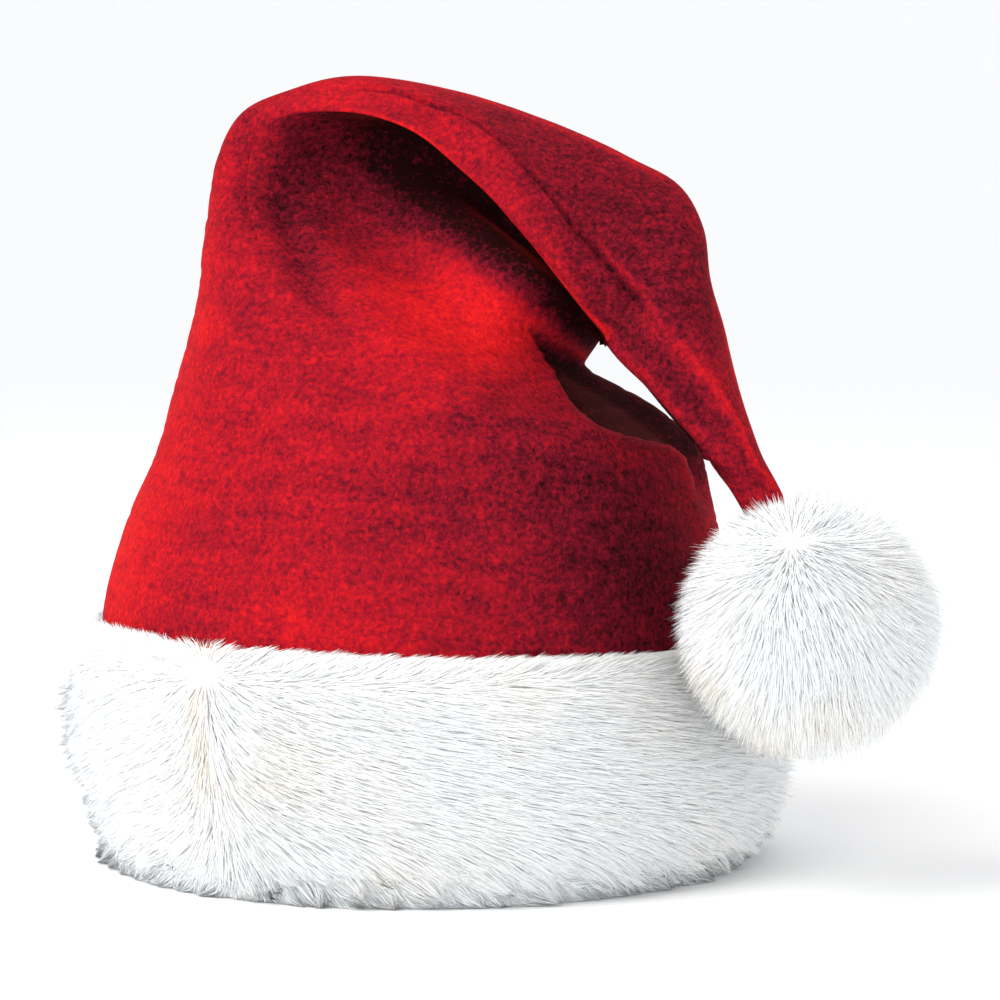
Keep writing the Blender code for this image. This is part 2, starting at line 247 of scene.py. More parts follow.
# inner end x and z, outer end x and z, middle depth, half depth behind and in front, then the front's form:
# face, ridge, hollow and bulge as share from the inner end and depth in parts of the front half depth
ovalFront = ((0.905, 0.588), (0.655, 0.951), (0.345, 0.951), (0.095, 0.588))
crownSections = (
    (0.0955, 0.004, -0.0965, 0.004, 0.0, 0.091, 0.091, ovalFront),
    (0.0955, 0.0705, -0.0965, 0.0745, 0.0, 0.0905, 0.0905, ovalFront),
    (0.093, 0.096, -0.0917, 0.0945, 0.0, 0.0865, 0.0885, ovalFront),
    (0.0905, 0.111, -0.0833, 0.1175, 0.0, 0.0805, 0.0835, ovalFront),
    (0.086, 0.127, -0.0742, 0.142, 0.0, 0.073, 0.0785, ((0.91, 0.58), (0.66, 0.94), (0.36, 0.97), (0.13, 0.64))),
    (0.074, 0.137, -0.069, 0.1604, 0.0, 0.0645, 0.072, ((0.92, 0.56), (0.72, 0.88), (0.42, 0.97), (0.17, 0.64))),
    (0.062, 0.1445, -0.0653, 0.1786, 0.0, 0.056, 0.065, ((0.94, 0.46), (0.79, 0.72), (0.5, 0.93), (0.21, 0.68))),
    (0.0537, 0.1494, -0.0633, 0.1967, 0.0, 0.048, 0.058, ((0.96, 0.34), (0.86, 0.52), (0.55, 0.72), (0.22, 0.74))),
    (0.0515, 0.1515, -0.0603, 0.214, -0.001, 0.041, 0.052, ((0.975, 0.2), (0.92, 0.3), (0.62, 0.42), (0.22, 0.8))),
    (0.0525, 0.154, -0.0514, 0.2281, -0.002, 0.035, 0.049, ((0.985, 0.16), (0.95, 0.27), (0.7, 0.24), (0.24, 0.84))),
    (0.0541, 0.1565, -0.036, 0.2353, -0.003, 0.032, 0.047,
     ((0.985, 0.18), (0.905, 0.42), (0.74, 0.18), (0.26, 0.84))),
    (0.0552, 0.1583, -0.015, 0.2397, -0.005, 0.03, 0.045, ((0.96, 0.28), (0.755, 0.66), (0.69, 0.16), (0.27, 0.79))),
    (0.056, 0.1594, 0.013, 0.2347, -0.008, 0.027, 0.041, ((0.74, 0.78), (0.11, 1.01), (0.19, 0.42), (0.09, 0.4))),
    (0.0566, 0.1602, 0.0382, 0.2262, -0.012, 0.025, 0.036, ((0.64, 0.86), (0.03, 1.0), (0.06, 0.48), (0.0, 0.18))),
    (0.0571, 0.1607, 0.064, 0.2149, -0.018, 0.024, 0.032, ((0.58, 0.89), (0.0, 0.98), (0.01, 0.44), (-0.015, 0.08))),
    (0.0577, 0.1607, 0.0792, 0.2061, -0.024, 0.022, 0.027,
     ((0.58, 0.93), (-0.01, 0.94), (-0.03, 0.35), (-0.032, -0.12))),
    (0.0585, 0.1597, 0.0857, 0.194, -0.031, 0.02, 0.024, ((0.6, 0.95), (-0.028, 0.88), (0.01, 0.27), (-0.01, -0.25))),
    (0.0611, 0.1567, 0.0876, 0.1785, -0.038, 0.018, 0.021,
     ((0.62, 0.97), (-0.045, 0.85), (0.02, 0.2), (0.01, -0.35))),
    (0.0682, 0.1488, 0.092, 0.161, -0.046, 0.015, 0.017, ((0.66, 0.97), (-0.04, 0.82), (0.03, 0.15), (0.02, -0.4))),
    (0.079, 0.136, 0.0958, 0.1437, -0.054, 0.0115, 0.013, ((0.7, 0.96), (-0.005, 0.82), (0.05, 0.25), (0.02, -0.25))),
    (0.0875, 0.1235, 0.1005, 0.1293, -0.061, 0.009, 0.0095, ((0.76, 0.93), (0.16, 0.9), (0.09, 0.5), (0.03, 0.15))),
    (0.0935, 0.1135, 0.1055, 0.1185, -0.066, 0.0066, 0.0066, ovalFront),
    (0.0984, 0.1045, 0.1088, 0.1085, -0.0703, 0.0056, 0.0056, ovalFront),
    (0.1025, 0.0975, 0.1103, 0.1005, -0.0743, 0.0042, 0.0042, ovalFront),
)
crownCloth = {  # along the bag, places are counted in sections from the hem, and round it in knots
    "rings": 276,
    "knotsRound": 9,
    "pointsBehind": 80,
    "pointsInFront": 220,
    "frontStart": 4.2,  # where the points begin to lie closer
    "insideRings": 112,
    "insideAround": 140,
    "thickness": 0.0018,
    "ridgeThickness": 0.001,  # in the tight bend of the fold's edge
    "bendAlong": ((9.5, 10.5),),  # each pair of places runs from nothing to all
    "bendRound": ((5.3, 5.7), (6.9, 6.5)),
    "tipLength": 0.0012,
    "softFolds": 0.0012,  # depth of the broad unevenness
    "softFoldsToMetre": 28,
    "calmHem": (0.9, 1.5),
    "calmTip": (23, 3),
    "creases": 0.0003,  # depth of the fine level creases
    "creasesToMetre": (22, 22, 210),
    "creaseSlant": 12,
    "creaseWidth": 0.1,
    "creasesAlong": ((9.0, 7.5),),
    "pocketDepth": 0.008,  # how much deeper the hollow under the fold is drawn in
    "pocketRound": 7.0,
    "pocketReach": 0.62,
    "pocketAlong": ((7.4, 9.4), (12.0, 10.9)),
    "tongue": ((9.1, 6.66), (7.9, 6.4), (7.1, 6.42), (6.25, 6.4), (5.6, 6.42)),  # runs down from the hollow
    "tongueDepth": 0.003,
    "tongueWidth": 0.0085,
    "tongueAlong": ((5.4, 6.8), (9.6, 8.2)),
    "seamLine": (  # the seam down the tail: places along and round
        (10.6, 5.2), (10.9, 5.12), (11.2, 5.06), (11.5, 4.84), (11.85, 4.7), (12.2, 4.8), (12.4, 5.0),
        (12.65, 5.12), (12.95, 5.24), (13.5, 5.33), (14.5, 5.45), (15.9, 5.48), (17.1, 5.43), (18.15, 5.36),
        (18.85, 5.22), (19.4, 5.18), (19.95, 5.26), (20.75, 5.6), (23.0, 5.6),
    ),
    "seamAlong": ((10.4, 11.2), (22.5, 20.5)),
    "seamDepth": 0.0017,
    "seamWidth": 0.0019,
    "seamRoll": 0.0014,  # how far the cloth rolls up between the seam and the fold's edge
    "seamPucker": 0.0006,
    "seamFaint": 0.65,  # how much fainter it is lower down
    "seamFaintAlong": ((14.6, 16.4),),
    "backEdge": (  # x and z of the edge where the bag's back half shows behind the front
        (0.042, 0.15), (0.044, 0.1467), (0.0481, 0.1408), (0.0536, 0.1359), (0.061, 0.133), (0.0688, 0.131),
        (0.0764, 0.1288), (0.0812, 0.125), (0.0836, 0.1181), (0.085, 0.11),
    ),
    "backAlong": ((2.6, 3.6), (8.8, 7.4)),
    "backRound": ((7.3, 7.7), (10.3, 9.6)),
    "backDepth": 0.0045,
    "backStep": (-0.0004, 0.0016),
    "backReach": (0.02, 0.006),
    "backEnd": (8.95, 8.6),
    "backLip": 0.0008,
}
crownPaintedLightAndSeam = {  # painted light and shade on the plush, with the seam's dark line: how much lighter or darker, and along which sections
    "middle": 0.5,
    "edge": (0.3, ((9.9, 11.0), (15.5, 13.0))),  # painted highlight along the fold's edge
    "band": (-0.15, ((11.6, 12.8), (20.0, 18.5))),  # painted shade between that edge and the seam
    # painted highlight along the crest, on its top and on the tail
    "crestTop": (0.16, ((11.0, 12.0), (15.0, 14.0))),
    "crestTail": (0.16, ((16.5, 17.5),)),
    "tail": (-0.15, ((11.2, 12.4), (18.5, 17.0))),  # painted shade beyond the seam
    # painted shade under the fold, in the hollow and in the groove that runs down from it
    "underFold": (-0.52, ((8.5, 10.6), (20.5, 18.5))),
    "hollow": (-0.1, ((7.0, 8.6), (9.8, 9.0))),
    "tongue": (-0.13, ()),
    # painted shade on the back half where it shows under the tail
    "back": (-0.54, ((2.4, 4.6),)),
    "seam": (-0.3, ()),
    # painted highlight where the cloth rolls up beside the seam
    "besideSeam": (0.2, ((13.2, 14.2),)),
    # painted shade in the fine creases
    "crease": (-0.05, ()),
    "spots": (  # painted pools of light and shade: x, y, z from the middle of the opening, reach, tone
        (0.0186, -0.045, 0.1675, 0.018, 0.17),
        (0.004, -0.054, 0.159, 0.022, 0.12),
        (-0.006, -0.042, 0.178, 0.014, 0.1),
        (0.033, -0.046, 0.165, 0.013, 0.12),
        (-0.0598, 0.0, 0.1938, 0.018, 0.14),
        (-0.064, -0.015, 0.17, 0.02, 0.12),
        (-0.0687, 0.0, 0.142, 0.026, 0.14),
        (-0.07, -0.04, 0.125, 0.026, 0.08),
        (-0.0832, -0.01, 0.0987, 0.026, 0.16),
        (-0.0842, -0.03, 0.083, 0.024, 0.16),
        (-0.03, -0.08, 0.074, 0.022, 0.12),
        (-0.0261, -0.015, 0.2357, 0.016, 0.12),
        (-0.04, -0.018, 0.208, 0.022, -0.07),
        (-0.025, -0.02, 0.21, 0.016, -0.08),
        (-0.037, -0.023, 0.193, 0.016, -0.03),
        (0.0597, -0.06, 0.1097, 0.034, -0.17),
        (0.0688, -0.06, 0.0831, 0.03, -0.13),
        (0.0299, -0.07, 0.1279, 0.024, -0.1),
        (0.064, -0.062, 0.08, 0.03, -0.05),
        (0.04, -0.078, 0.09, 0.028, -0.05),
        (0.0, -0.078, 0.115, 0.02, -0.08),
        (0.054, -0.045, 0.2052, 0.024, -0.06),
        (0.071, -0.055, 0.1735, 0.022, -0.08),
        (0.0882, -0.065, 0.142, 0.022, -0.04),
    ),
}


def crownKnots():
    knots = []
    turns = np.radians((0, 45, 90, 135, 180))
    for inX, inZ, outX, outZ, midY, back, front, form in crownSections:
        inner, outer = np.array((inX, 0.0, inZ)), np.array((outX, 0.0, outZ))
        spots = [((1 - math.cos(t)) / 2, math.sin(t) * back) for t in turns]
        spots += [(share, -depth * front) for share, depth in form]
        knots.append([inner + (outer - inner) * share + (0.0, midY + depth, 0.0) for share, depth in spots])
    return np.array(knots) + hatMiddle


def crownGrid(rows, columns):  # rows counted in sections, columns in knots
    lines = curveAt(crownKnots(), rows)
    return np.stack([curveAt(line, columns, closed=True) for line in lines])


def evenRows(count):  # rings spread by the length of cloth between the sections
    knots = crownKnots()
    fine = np.linspace(0, len(knots) - 1, 600)
    steps = np.linalg.norm(np.diff(curveAt(knots, fine), axis=0), axis=-1).mean(axis=1)
    length = np.concatenate([[0], np.cumsum(steps)])
    return np.interp(np.linspace(0, length[-1], count), length, fine)


def awayFromLine(points, line):  # distance to a line in x and z, above zero on its right and upper side
    best = np.full(len(points), 1e9)
    side = np.ones(len(points))
    for start, end in zip(line[:-1], line[1:]):
        way = end - start
        along = np.clip(((points - start) @ way) / (way @ way), 0, 1)[:, None]
        off = points - start - along * way
        distance = np.linalg.norm(off, axis=1)
        cross = way[0] * (points[:, 1] - start[1]) - way[1] * (points[:, 0] - start[0])
        side = np.where(distance < best, np.sign(cross), side)
        best = np.minimum(best, distance)
    return best * side


def crownPlaces():  # the bag as a grid, with each point's place along and round it
    cloth = crownCloth
    rows = evenRows(cloth["rings"])
    start, knots = cloth["frontStart"], cloth["knotsRound"]
    columns = np.concatenate([
        np.arange(cloth["pointsBehind"]) * start / cloth["pointsBehind"],
        start + np.arange(cloth["pointsInFront"]) * (knots - start) / cloth["pointsInFront"],
    ])
    grid = crownGrid(rows, columns)
    row, column = np.meshgrid(rows, columns, indexing="ij")
    step = np.linalg.norm(np.roll(grid, -1, axis=1) - grid, axis=-1) / np.diff(columns, append=float(knots))
    return grid, row, column, step


def foldCrown(grid, row, column, step):  # how far each point is pushed out, and the masks of the folds that the painted light and shade follow
    cloth = crownCloth
    spots = grid.reshape(-1, 3)
    scale = cloth["softFoldsToMetre"]
    soft = np.array([noise.fractal(Vector(p) * scale, 1.0, 2.0, 2) for p in spots]).reshape(row.shape)
    level = spots * cloth["creasesToMetre"] + (0, 0, 1) * (spots[:, :1] * cloth["creaseSlant"])
    crease = bell(np.array([noise.noise(Vector(p)) for p in level]).reshape(row.shape), cloth["creaseWidth"])
    awayFromHem = np.clip((row - cloth["calmHem"][0]) / cloth["calmHem"][1], 0, 1)
    awayFromTip = np.clip((cloth["calmTip"][0] - row) / cloth["calmTip"][1], 0, 1)
    crease *= within(cloth["creasesAlong"], row)
    push = cloth["softFolds"] * soft * awayFromHem * awayFromTip - cloth["creases"] * crease * awayFromHem

    # the hollow under the fold, drawn in between the ridge and the bulge, and the groove that runs down from it
    inPocket = bell(column - cloth["pocketRound"], cloth["pocketReach"]) * within(cloth["pocketAlong"], row)
    push -= cloth["pocketDepth"] * inPocket
    tongueRow, tonguePlace = np.array(cloth["tongue"])[::-1].T
    aside = (column - np.interp(row[:, 0], tongueRow, tonguePlace)[:, None]) * step
    inTongue = bell(aside, cloth["tongueWidth"]) * within(cloth["tongueAlong"], row)
    push -= cloth["tongueDepth"] * inTongue

    # the seam down the tail, drawn in by its stitches, with the cloth rolling up towards the fold's edge
    seamRow, seamPlace = np.array(cloth["seamLine"]).T
    away = (column - np.interp(row[:, 0], seamRow, seamPlace)[:, None]) * step / cloth["seamWidth"]
    seamShare = within(cloth["seamAlong"], row)
    faint = 1 - cloth["seamFaint"] * within(cloth["seamFaintAlong"], row)
    pucker = np.sin(row * 11.0 + 2.0 * np.sin(row * 2.3)) * bell(away, 2.5)
    groove = bell(away, 1.0) - 0.25 * bell(away + 2.0, 1.2)
    roll = bell(away - 3.2, 2.0)
    drawn = cloth["seamDepth"] * groove + cloth["seamPucker"] * pucker - cloth["seamRoll"] * roll
    push -= seamShare * faint * drawn

    # the back half of the bag, which shows behind the front's edge under the tail
    local = (grid - hatMiddle).reshape(-1, 3)
    behind = awayFromLine(local[:, [0, 2]], np.array(cloth["backEdge"])).reshape(row.shape)
    onward = np.where(column < 3, column + cloth["knotsRound"], column)
    inFront = within(cloth["backRound"], onward) * within(cloth["backAlong"], row)
    back = between(*cloth["backStep"], behind) * inFront
    push -= cloth["backDepth"] * back * between(*cloth["backReach"], behind) * between(*cloth["backEnd"], onward)
    push += cloth["backLip"] * bell(behind + 0.0022, 0.0016) * inFront
    return push, crease, inTongue, away, seamShare, faint, back, onward


# painted light and shade along the folds: highlights on the fold's edge, the crest and beside the seam; shade between
# edge and seam, beyond the seam, under the fold, in the hollow, groove and creases and on the back half; and the
# seam's dark line
def paintCrownLightAndSeam(row, column, step, crease, inTongue, away, seamShare, faint, back, onward):
    fromRidge = (column - 6.0) * step
    fromSeam = away * crownCloth["seamWidth"]
    atCrest = bell((column - 4.15) * step, 0.0024)
    areas = {
        "edge": bell(fromRidge + 0.0012, 0.003) * between(0.001, 0.0, fromRidge),
        "band": seamShare * between(0.3, 1.6, away) * between(-0.003, -0.0062, fromRidge),
        "crestTop": atCrest,
        "crestTail": atCrest,
        "tail": between(3.9, 4.4, column) * between(-0.2, -1.2, away),
        "underFold": between(0.0, 0.0022, (onward - 6.0) * step) * between(9.7, 8.9, onward),
        "hollow": between(6.1, 6.4, column) * between(7.6, 7.2, column),
        "tongue": inTongue,
        "back": back * between(9.75, 8.75, onward),
        "seam": seamShare * faint ** 2 * bell(fromSeam, 0.0013),
        "besideSeam": seamShare * bell(fromSeam + 0.003, 0.0016),
        "crease": crease,
    }
    tones = np.zeros(row.shape)
    for name, area in areas.items():
        tone, along = crownPaintedLightAndSeam[name]
        tones += tone * area * within(along, row)
    return tones


def makeCrown():
    cloth = crownCloth
    grid, row, column, step = crownPlaces()
    rings, around = row.shape
    push, *folds = foldCrown(grid, row, column, step)
    outside = grid + gridNormals(grid) * push[..., None]
    tip = outside[-1].mean(axis=0)
    ahead = unit(tip - outside[-2].mean(axis=0)) * cloth["tipLength"]

    insideRows = np.linspace(0, rings - 2, cloth["insideRings"]).round().astype(int)
    insideColumns = np.linspace(0, around, cloth["insideAround"], endpoint=False).round().astype(int)
    inBend = within(cloth["bendAlong"], row) * within(cloth["bendRound"], column)
    thickness = cloth["thickness"] + (cloth["ridgeThickness"] - cloth["thickness"]) * inBend
    inside = (outside - gridNormals(outside) * thickness[..., None])[insideRows][:, insideColumns]
    count = rings * around
    last = count - around + np.arange(around)
    cap = np.stack([last, np.roll(last, -1), np.full(around, count)], axis=-1)
    quads = np.concatenate([
        ringQuads(rings, around),
        ringQuads(len(insideRows), len(insideColumns))[:, ::-1] + count + 1,
    ])
    points = np.concatenate([outside.reshape(-1, 3), [tip + ahead], inside.reshape(-1, 3)])
    insideLast = len(points) - len(insideColumns) + np.arange(len(insideColumns))
    piece = makePiece("crownPlush", points, quads, cap, [insideLast])

    # painted pools of light and shade, then the painted light and shade along the folds and the seam's dark line,
    # kept on each point
    tones = np.zeros(len(points))
    for x, y, z, reach, tone in crownPaintedLightAndSeam["spots"]:
        near = np.linalg.norm(points - hatMiddle - (x, y, z), axis=1) / reach
        tones += tone * np.exp(-near ** 2 * 0.9)
    tones[:count] += paintCrownLightAndSeam(row, column, step, *folds).ravel()
    tones[count + 1:] = tones[:count].reshape(row.shape)[insideRows][:, insideColumns].ravel()
    layer = piece.data.attributes.new("napTone", "FLOAT", "POINT")
    layer.data.foreach_set("value", np.clip(crownPaintedLightAndSeam["middle"] + tones, 0, 1).astype(np.float32))
    return piece


crown = makeCrown()
print("crown made,", len(crown.data.polygons), "faces")


# fur: tapered blades drawn together in tufts

blade = {
    "sink": 0.0006,  # how far the root goes below the surface
    "keepsOn": 0.55,  # how much the outer half keeps the inner half's way, and how much it follows the combing
    "follows": 0.6,
    "pullSpread": 0.5,
    "mostPull": 0.95,
    "middlePull": 0.22,  # how much of the tip's pull reaches the middle
    "strayTurn": 0.2,
    "widths": (0.75, 1.25),
    "middleWidth": 0.9,
    "lowest": 0.0003,  # height over the floor
    "along": (0.02, 0.02, 0.5, 0.5, 0.5, 0.5, 0.98),  # from root to tip, at the corners of the blade's two faces
    "aside": (-0.004, 0.004, 0.004, -0.004, -0.004, 0.004, 0.0),
}
furTone = {  # between cream (0) and cool white (0.8)
    "middle": 0.42,
    "patches": 0.28,
    "spread": 0.13,
    "range": (0.06, 0.82),
    "shown": (0.02, 0.84),
    # tone that gives a blade a grey tip, used to paint shade at the foot and edges; and the share of blades that get
    # one at random
    "greyTip": 0.96,
    "fewGrey": 0.02,
}


def bladeTips(roots, outs, flows, lengths, lift, droop):
    first = unit(flows * np.cos(lift) + outs * np.sin(lift))
    second = unit(first * blade["keepsOn"] + flows * blade["follows"] + np.array((0, 0, -droop)))
    return first, second, roots + first * lengths * 0.5, roots + (first + second) * lengths * 0.5


def nearestTuft(heads, roots):
    tree = kdtree.KDTree(len(heads))
    for k, head in enumerate(heads):
        tree.insert(head, k)
    tree.balance()
    return np.array([tree.find(p)[1] for p in roots])


def layTones(piece, tones):  # the material reads a blade's tone and the place along it from this map
    u = tones[:, None] + np.array(blade["aside"])
    v = np.broadcast_to(np.array(blade["along"]), u.shape)
    places = np.stack([u, v], axis=-1)
    places = np.concatenate([places[:, :4].reshape(-1, 2), places[:, 4:].reshape(-1, 2)])
    piece.data.uv_layers.new(name="OFBake").data.foreach_set("uv", places.astype(np.float32).ravel())


def growFur(name, fur, spread, heads, tones, rng, drawn=1.0, shape=None):
    roots, outs, flows, scale, raised = spread
    headRoots, headOuts, headFlows, headScale, headRaised = heads
    headLift = np.radians(fur["lift"] + headRaised)[:, None]
    headLengths = (fur["length"] * headScale)[:, None]
    headTips = bladeTips(headRoots, headOuts, headFlows, headLengths, headLift, fur["droop"])[3]
    tuft = nearestTuft(headRoots, roots)

    count = len(roots)
    lengths = (fur["length"] * scale * (1 + fur["uneven"] * rng.uniform(-1, 1, count)))[:, None]
    lift = np.radians(fur["lift"] + fur["liftSpread"] * rng.normal(size=count) + raised)[:, None]
    stray = rng.normal(size=(count, 3)) * fur["stray"]
    heading = unit(flows + stray)
    roots = roots - outs * blade["sink"]
    first, second, middles, tips = bladeTips(roots, outs, heading, lengths, lift, fur["droop"])
    pull = fur["pull"] * drawn * (1 + blade["pullSpread"] * rng.normal(size=count))
    pull = np.clip(pull, 0, blade["mostPull"])[:, None]
    tips = tips + (headTips[tuft] - tips) * pull
    middles = middles + (headTips[tuft] - middles) * pull * blade["middlePull"]

    across = unit(np.cross(first, outs) + stray * blade["strayTurn"])
    twist = np.radians(rng.normal(size=count) * fur["twist"])[:, None]
    across = across * np.cos(twist) + np.cross(first, across) * np.sin(twist)
    width = (fur["width"] * rng.uniform(*blade["widths"], count))[:, None] * across / 2
    middleWidth = width * blade["middleWidth"]
    points = np.stack([roots - width, roots + width, middles + middleWidth, middles - middleWidth, tips], axis=1)
    if shape is not None:
        points = shape(points.reshape(-1, 3)).reshape(points.shape)
    points[..., 2] = np.maximum(points[..., 2], blade["lowest"])
    base = np.arange(count)[:, None] * 5
    quads = base + np.array((0, 1, 2, 3))
    triangles = base + np.array((3, 2, 4))
    piece = makePiece(name, points.reshape(-1, 3), quads, triangles)
    own = unit(np.cross(across, second))
    own *= np.sign((own * outs).sum(axis=1, keepdims=True) + 1e-9)
    soft = unit(outs * fur["softness"] + own * (1 - fur["softness"]))  # soft, as light through fine hairs
    piece.data.normals_split_custom_set_from_vertices(np.repeat(soft, 5, axis=0))
    layTones(piece, tones)
    return piece


def furTones(roots, patchiness, rng):
    patches = np.array([noise.noise(Vector(p) * patchiness) for p in roots])
    tones = furTone["middle"] + furTone["patches"] * patches + rng.normal(size=len(roots)) * furTone["spread"]
    return np.clip(tones, *furTone["range"])


# gives the grey tip to a few blades at random and, as painted shade, to more where asked
def withGreyTips(tones, more, rng):
    isGrey = rng.uniform(size=len(tones)) < furTone["fewGrey"] + more
    return np.where(isGrey, furTone["greyTip"], tones.clip(*furTone["shown"]))


# brim: a padded roll round the hem under long combed fur
# turns are in degrees round from the middle of the front, heights in parts of the fur's height

brimFur = {
    "length": 0.0125,
    "uneven": 0.3,
    "lift": 22.0,
    "liftSpread": 5.0,
    "stray": 0.11,
    "droop": 0.1,
    "pull": 0.22,
    "twist": 12.0,
    "width": 0.00024,
    "softness": 0.93,
    "blades": 50000,  # in each part
    "parts": 4,
    "height": 0.0725,
    "topShare": 0.965,  # how far up the roll the roots go
    "shorter": ((-0.32, (0.3, 0.04)), (-0.25, (0.82, 0.97))),  # at the foot and at the top
    "lower": ((-9, (0.28, 0.04)), (-4, (0.85, 0.97))),  # degrees
    "right": ((0.7, 0.5), 0.18, 8),  # height, how much longer and how many degrees higher on either side
    "left": ((0.5, 0.25), -0.22, -5),
    "tuftCount": 3600,
    "tuftUneven": 0.22,
    "footUneven": 0.35,
    "foot": (0.3, 0.1),  # wider and more ragged tufts below
    "fewerAtFoot": 0.74,
    "mostUneven": 1.3,
    "footStanding": (4, 26),
    "standing": 5,
    "leftStanding": (-4, 44),
    "footDrawn": 2.2,
    "leftDrawn": 0.9,
    "topSunk": 0.0012,  # how far the fur's edge stays under the top line
    "topGives": 0.42,
    "wisps": ((0.9, 0.0), (1.9, 1.0), (4.3, 2.0)),
    "wispHeight": 0.0004,
}
brimComb = {  # the way the fur is combed: to both sides from the parting
    "partingTop": -40.0,
    "partingFoot": -34.0,
    "partingWidth": 6.0,
    "down": 0.1,
    "foot": (0.95, 0.36),  # how much further down, and up to which height
    "back": (0.45, 110, 70),  # how much further down, where the back begins, and over how many degrees
    "left": (0.4, 20, 0.2, 0.3),  # the same from the parting, and in heights
    "atParting": (0.25, 7),
    "top": (0.86, 0.96),
    "topUp": (1.2, 0.25, (1, 12)),  # how much up, what is left of it at the parting, and the degrees beside it
}
brimTone = {
    "patchiness": 38,
    "parting": (-0.32, 0.8, ((0.42, 0.62), (1.0, 0.9))),  # painted shade in the parting's crevice: tone, width and heights
    "besideBall": (-0.24, 62, 12, (0.4, 0.6)),  # painted shade in the crevice beside the pompom: tone, turn, width and height
    "left": (0.2, (-40, -60)),  # tone and turns
    "footShadedTips": (0.7, (0.18, 0.06)),  # painted shade at the foot: share of grey tips
    # painted shade at the brim's left and right edges as seen from the front, as grey tips
    "leftEdgeShadedTips": 0.5,
    "rightEdgeShadedTips": (0.22, 88, 11, (0.6, 0.4)),
}
brimRoll = {
    "stand": 0.0068,  # how far the padded roll stands out from the crown
    "profile": (  # from foot to top: distance in parts of the above, and height
        (0.1, 0.004), (0.42, 0.1), (0.84, 0.27), (1.0, 0.48),
        (0.97, 0.68), (0.84, 0.83), (0.54, 0.93), (0.16, 0.965),
    ),
    "lean": 0.002,  # how far its foot sits over to the pompom's side
    "sideTurn": 85,
    "sideWidth": 42,
    "fullRight": 0.75,  # how much fuller it is on the pompom's side, and flatter at the foot of the other side
    "fullHeights": ((0.0, 0.15), (0.95, 0.6)),
    "flatLeft": 0.45,
    "flatHeight": (0.5, 0.25),
    "leftEdge": (-88, 15),
    "leftEdgeTop": (0.066, 0.058),
    "rows": 40,
    "pointsAround": 270,
    "downCrown": ((0.0004, 0.985), (0.0004, 0.06)),  # distance, and height in parts of the crown's
    "lip": (  # turned up inside the hem: distance and height
        (-0.0023, 0.0035), (-0.0023, 0.014), (-0.004, 0.015), (-0.0056, 0.011), (-0.0056, 0.0006),
    ),
    "topLine": (  # turn, and height where the fur meets the plush
        (-180, 0.0735), (-110, 0.0745), (-76, 0.0752), (-56, 0.0763), (-42, 0.076), (-31, 0.075), (-21, 0.074),
        (-12, 0.0733), (-3, 0.0729), (15, 0.0725), (35, 0.0712), (45, 0.0701), (56, 0.0686), (90, 0.069),
        (180, 0.0735),
    ),
}


def turnOf(points):
    return np.degrees(np.arctan2(points[:, 0] - hatMiddle[0], hatMiddle[1] - points[:, 1]))


def sideShare(points, side):  # 1 at the brim's right (1) or left (-1) side, falling off to both ways
    return bell(turnOf(points) - side * brimRoll["sideTurn"], brimRoll["sideWidth"])


def leftEdge(points):  # 1 where the brim's side faces left, below its top
    turn, width = brimRoll["leftEdge"]
    return bell(turnOf(points) - turn, width) * between(*brimRoll["leftEdgeTop"], points[:, 2])


def brimGrid():
    roll = brimRoll
    columns = np.arange(roll["pointsAround"]) * crownCloth["knotsRound"] / roll["pointsAround"]
    top = crownGrid(np.array([1.0]), columns)[0]
    around = np.roll(top, -1, axis=0) - np.roll(top, 1, axis=0)
    out = unit(np.stack([around[:, 1], around[:, 0] * -1, np.zeros(len(top))], axis=-1))
    if (out * (top - hatMiddle)).sum() < 0:
        out = -out
    profile = np.array(roll["profile"])
    rings = []
    for distance, rise in curveAt(profile, np.linspace(0, len(profile) - 1, roll["rows"])):
        full = 1 + roll["fullRight"] * sideShare(top, 1) * within(roll["fullHeights"], rise)
        full -= roll["flatLeft"] * sideShare(top, -1) * between(*roll["flatHeight"], rise)
        ring = top + out * (distance * roll["stand"] * full)[:, None]
        ring[:, 2] = top[:, 2] * rise
        ring[:, 0] += roll["lean"] * (1 - rise)
        rings.append(ring)
    return np.array(rings), out, top


def makeBrimRoll():
    rings, out, top = brimGrid()
    inner = []
    for distance, height in brimRoll["downCrown"]:
        ring = top + out * distance
        ring[:, 2] = top[:, 2] * height
        inner.append(ring)
    for distance, height in brimRoll["lip"]:
        ring = top + out * distance
        ring[:, 2] = height
        inner.append(ring)
    grid = np.concatenate([rings, inner, rings[:1]])
    grid[..., 2] = np.maximum(grid[..., 2], blade["lowest"])
    return makePiece("brimRoll", grid.reshape(-1, 3), ringQuads(len(grid), grid.shape[1]))


def partingAt(heights):
    return brimComb["partingFoot"] + (brimComb["partingTop"] - brimComb["partingFoot"]) * heights


